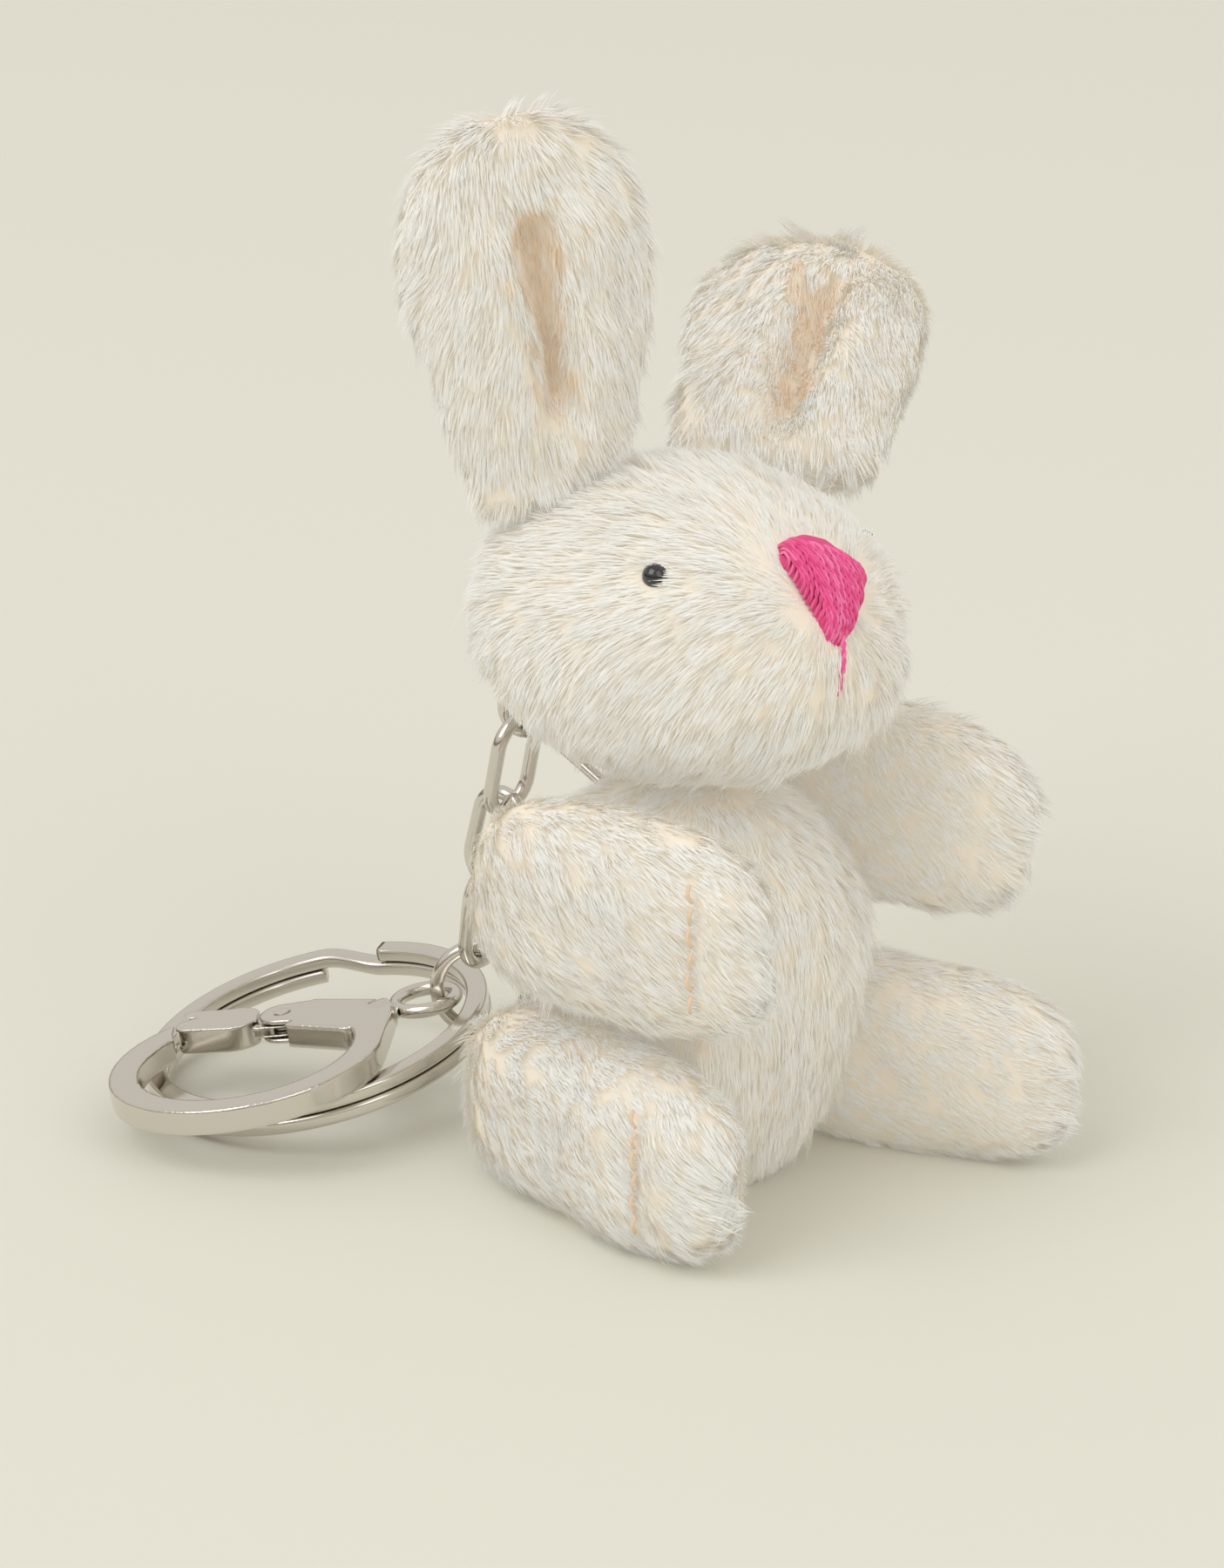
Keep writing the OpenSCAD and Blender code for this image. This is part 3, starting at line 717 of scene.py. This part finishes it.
def add_mouth():
    """One upright stitch with a short one to each side of its foot, each of two plies."""
    stitches = (
        [(0.9, 3.2), (0.75, -0.2), (0.0, -4.8)],
        [(0.0, -4.6), (-1.4, -3.9), (-2.9, -2.6)],
        [(0.05, -4.7), (1.2, -4.3), (2.4, -3.4)],
    )
    t = np.linspace(0, 2, MOUTH_POINTS)
    rounding = np.ones(13) / 13
    paths = []
    for stitch in stitches:
        corners = np.array(stitch, float)
        lines = [np.interp(t, [0, 1, 2], corners[:, k]) for k in (0, 1)]
        x, z = [np.convolve(np.pad(line, 6, "edge"), rounding, "valid") for line in lines]
        for ply in (0, 1):
            turn = np.arange(MOUTH_POINTS) * 0.9 + ply * np.pi
            aside, proud = x + MOUTH_ASIDE + 0.11 * np.cos(turn), MOUTH_PROUD + 0.1 * np.sin(turn)
            paths.append(HEAD.out(head_front(aside, z + MOUTH_UP, proud)))
    ob = tubes("mouth_thread", paths, MOUTH_R, PINKS, [0, 1] * len(stitches))
    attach(ob, "head")
    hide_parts("mouth_stitches")


add_nose()
add_nose_pad()
add_mouth()

# ---------------------------------------------------------------- metal
WIRE, PLAY = 0.65, 0.05
PITCH, LINK_W = 7.75, 6.4
JUMPS = np.array([[0, 18.7, 36.35], [0.1, 20.4, 28.8], [0.2, 22.5, 21.35], [0.3, 23.5, 13.65]])
ACROSS = np.array([[1, 0, 0], [0, 1, 0], [1, 0, 0]], float)


def oval(length, bend, steps=40):
    """A flat loop of two half turns and two straights, in the xy plane."""
    straight = length - 2 * bend
    t = np.linspace(-np.pi / 2, np.pi / 2, steps)
    right = np.stack([straight / 2 + bend * np.cos(t), bend * np.sin(t), 0 * t], 1)
    left = np.stack([-straight / 2 - bend * np.cos(t), -bend * np.sin(t), 0 * t], 1)
    n = np.linspace(0, 1, 14)[1:-1]
    top = np.stack([straight / 2 - straight * n, np.full(len(n), bend), 0 * n], 1)
    low = np.stack([-straight / 2 + straight * n, np.full(len(n), -bend), 0 * n], 1)
    return np.concatenate([right, top, left, low])


def metal(ob, body, *nodes):
    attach(ob, body)
    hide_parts(*nodes)
    return ob


for i in range(3):
    a, b = JUMPS[i], JUMPS[i + 1]
    name = f"chain_link_{i + 1}"
    place = Place((a + b) / 2, b - a, np.cross(b - a, ACROSS[i]))
    path = place.out(oval(PITCH + 2 * WIRE + PLAY, LINK_W / 2 - WIRE))
    metal(tubes(name + "_wire", [path], WIRE, [NICKEL], sides=24, closed=True), name, name)

JUMP_R = (9.4 - 2 * WIRE) / 2
JUMP_AT = JUMPS[3] - vec(0.1, 0, JUMP_R - WIRE - PLAY)
jump = unit(vec(-0.55, 0.835, 0))
t = np.linspace(0, 2 * np.pi, 120, endpoint=False)[:, None]
path = JUMP_AT + JUMP_R * (np.cos(t) * jump + np.sin(t) * vec(0, 0, 1))
metal(tubes("jump_ring_wire", [path], WIRE, [NICKEL], sides=28, closed=True), "jump_ring", "jump_ring")

# The flat split ring is one wire that makes two turns, with a step between them.
RING_D, BAND, RING_T, TURN_GAP, CORNER = 32, 2.0, 2.8, 0.1, 0.42
RING_START, STEP, RING_SLOPE = 230, 22, math.radians(13.6)
RING_WAY = unit(vec(-0.829, 0.559, 0))
RING_AT = vec(-8.2, 35.8, RING_D / 2 * math.sin(RING_SLOPE) + RING_T / 2 * math.cos(RING_SLOPE) + 0.15)
RING = Place(RING_AT, RING_WAY * math.cos(RING_SLOPE) - vec(0, 0, math.sin(RING_SLOPE)), [0, 0, 1])


def ring_profile(turn_t):
    """A flat band's outline with rounded corners, as sideways and upward steps from its middle."""
    outline = []
    for quarter, (x, z) in enumerate(((1, 1), (-1, 1), (-1, -1), (1, -1))):
        for k in range(6):
            r = math.radians(quarter * 90 + k * 18)
            aside = x * (BAND / 2 - CORNER) + CORNER * math.cos(r)
            outline.append((aside, z * (turn_t / 2 - CORNER) + CORNER * math.sin(r)))
    return np.array(outline)


def add_split_ring():
    turn_t = (RING_T - TURN_GAP) / 2
    profile = ring_profile(turn_t)
    angles = np.radians(np.linspace(RING_START + STEP, RING_START + 720, 420))
    turned = np.degrees(angles) - RING_START
    step = np.where(turned < 360, 0, smooth(turned, 360, 360 + STEP))
    height = step * (turn_t + TURN_GAP) - (turn_t + TURN_GAP) / 2
    points = []
    for angle, h in zip(angles, height):
        radial = vec(math.cos(angle), math.sin(angle), 0)
        points.append(radial * (RING_D / 2 - BAND / 2 + profile[:, :1]) + vec(0, 0, 1) * (h + profile[:, 1:]))
    count, sides = len(points), len(profile)
    quads = lattice(count, sides)[:, ::-1]
    caps = np.array([np.arange(sides), np.arange(sides)[::-1] + (count - 1) * sides])
    ob = make("split_ring_coil", RING.out(np.concatenate(points)), [quads, caps], [NICKEL])
    metal(ob, "split_ring", "split_ring")


add_split_ring()


def cast(name, body, grain, turns):
    """A smooth cast copy of a CAD solid: a fine even skin of it, relaxed until its edges are round."""
    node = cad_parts[name]
    me = node.data.copy()
    me.transform(node.matrix_world)
    me.materials.clear()
    ob = bpy.data.objects.new(name + "_cast", me)
    bpy.context.scene.collection.objects.link(ob)
    skin = ob.modifiers.new("skin", "REMESH")
    skin.mode, skin.voxel_size, skin.use_smooth_shade = "VOXEL", grain * MM, True
    relax = ob.modifiers.new("relax", "SMOOTH")
    relax.factor, relax.iterations = 0.5, turns
    done = bpy.data.meshes.new_from_object(ob.evaluated_get(bpy.context.evaluated_depsgraph_get()))
    ob.modifiers.clear()
    ob.data = done
    done.materials.clear()
    done.materials.append(NICKEL)
    return metal(ob, body, name)


cast("clasp_body", "clasp", 0.10, 50)
cast("clasp_lever", "clasp_lever", 0.08, 16)
cast("clasp_swivel_eye", "clasp_swivel_eye", 0.08, 4)
FITTINGS = {"neck_eye_pin": NICKEL, "lever_pin": NICKEL, "lever_spring": STEEL, "eye_pin_washer": STEEL}
for name, plating in FITTINGS.items():
    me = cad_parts[name].data
    me.materials.clear()
    me.materials.append(plating)

# ---------------------------------------------------------------- floor, light and camera
FLOOR_HALF = 4000
corners = np.array([[-1, -1, 0], [1, -1, 0], [1, 1, 0], [-1, 1, 0]]) * FLOOR_HALF
PAPER = material("floor_paper", (0.80, 0.795, 0.715), rough=0.9, specular=0.1)
floor = make("floor", corners, [np.array([[0, 1, 2, 3]])], [PAPER], shade=False)

WORLD_STRENGTH = 0.73
world = bpy.data.worlds.new("studio")
bpy.context.scene.world = world
world.use_nodes = True
nodes, links = world.node_tree.nodes, world.node_tree.links
background = nodes["Background"]
coord = nodes.new("ShaderNodeTexCoord")
split = nodes.new("ShaderNodeSeparateXYZ")
ramp = nodes.new("ShaderNodeValToRGB")
SKY = (
    (0.0, (0.20, 0.15, 0.11)),
    (0.10, (0.36, 0.29, 0.23)),
    (0.24, (1.0, 0.965, 0.90)),
    (1.0, (1.0, 0.965, 0.90)),
)
for position, color in SKY[1:3]:
    ramp.color_ramp.elements.new(position)
for element, (position, color) in zip(ramp.color_ramp.elements, SKY):
    element.position, element.color = position, (*color, 1)
links.new(coord.outputs["Generated"], split.inputs[0])
links.new(split.outputs["Z"], ramp.inputs[0])
links.new(ramp.outputs[0], background.inputs["Color"])
background.inputs["Strength"].default_value = WORLD_STRENGTH
LIGHT_AIM, CAMERA_AIM = Vector((0, 0.01, 0.04)), Vector((0.0039, 0.0115, 0.0313))


def stand(data, aim, azimuth, elevation, distance):
    """A light or camera object at a distance from its aim, in metres, turned to face it."""
    a, e = math.radians(azimuth), math.radians(elevation)
    ob = bpy.data.objects.new(data.name, data)
    bpy.context.scene.collection.objects.link(ob)
    way = Vector((math.sin(a) * math.cos(e), -math.cos(a) * math.cos(e), math.sin(e)))
    ob.location = aim + distance * way
    ob.rotation_euler = way.to_track_quat("Z", "Y").to_euler()
    return ob


def area(name, azimuth, elevation, distance, size, power, color):
    light = bpy.data.lights.new(name, "AREA")
    light.size, light.energy, light.color = size, power, color
    stand(light, LIGHT_AIM, azimuth, elevation, distance)


area("key", -100, 48, 3.0, 2.2, 29, (0.98, 0.99, 1.0))
area("fill", -15, 35, 3.0, 2.0, 11, (1.0, 0.98, 0.95))

AZIMUTH, ELEVATION, DISTANCE, VIEW_ANGLE = -52.0, 19.0, 0.45, 17.4
camera = bpy.data.cameras.new("camera")
camera.sensor_fit = "VERTICAL"
camera.angle = math.radians(VIEW_ANGLE)
camera.clip_start = 0.01
bpy.context.scene.camera = stand(camera, CAMERA_AIM, AZIMUTH, ELEVATION, DISTANCE)
bpy.context.scene.view_settings.view_transform = "Standard"
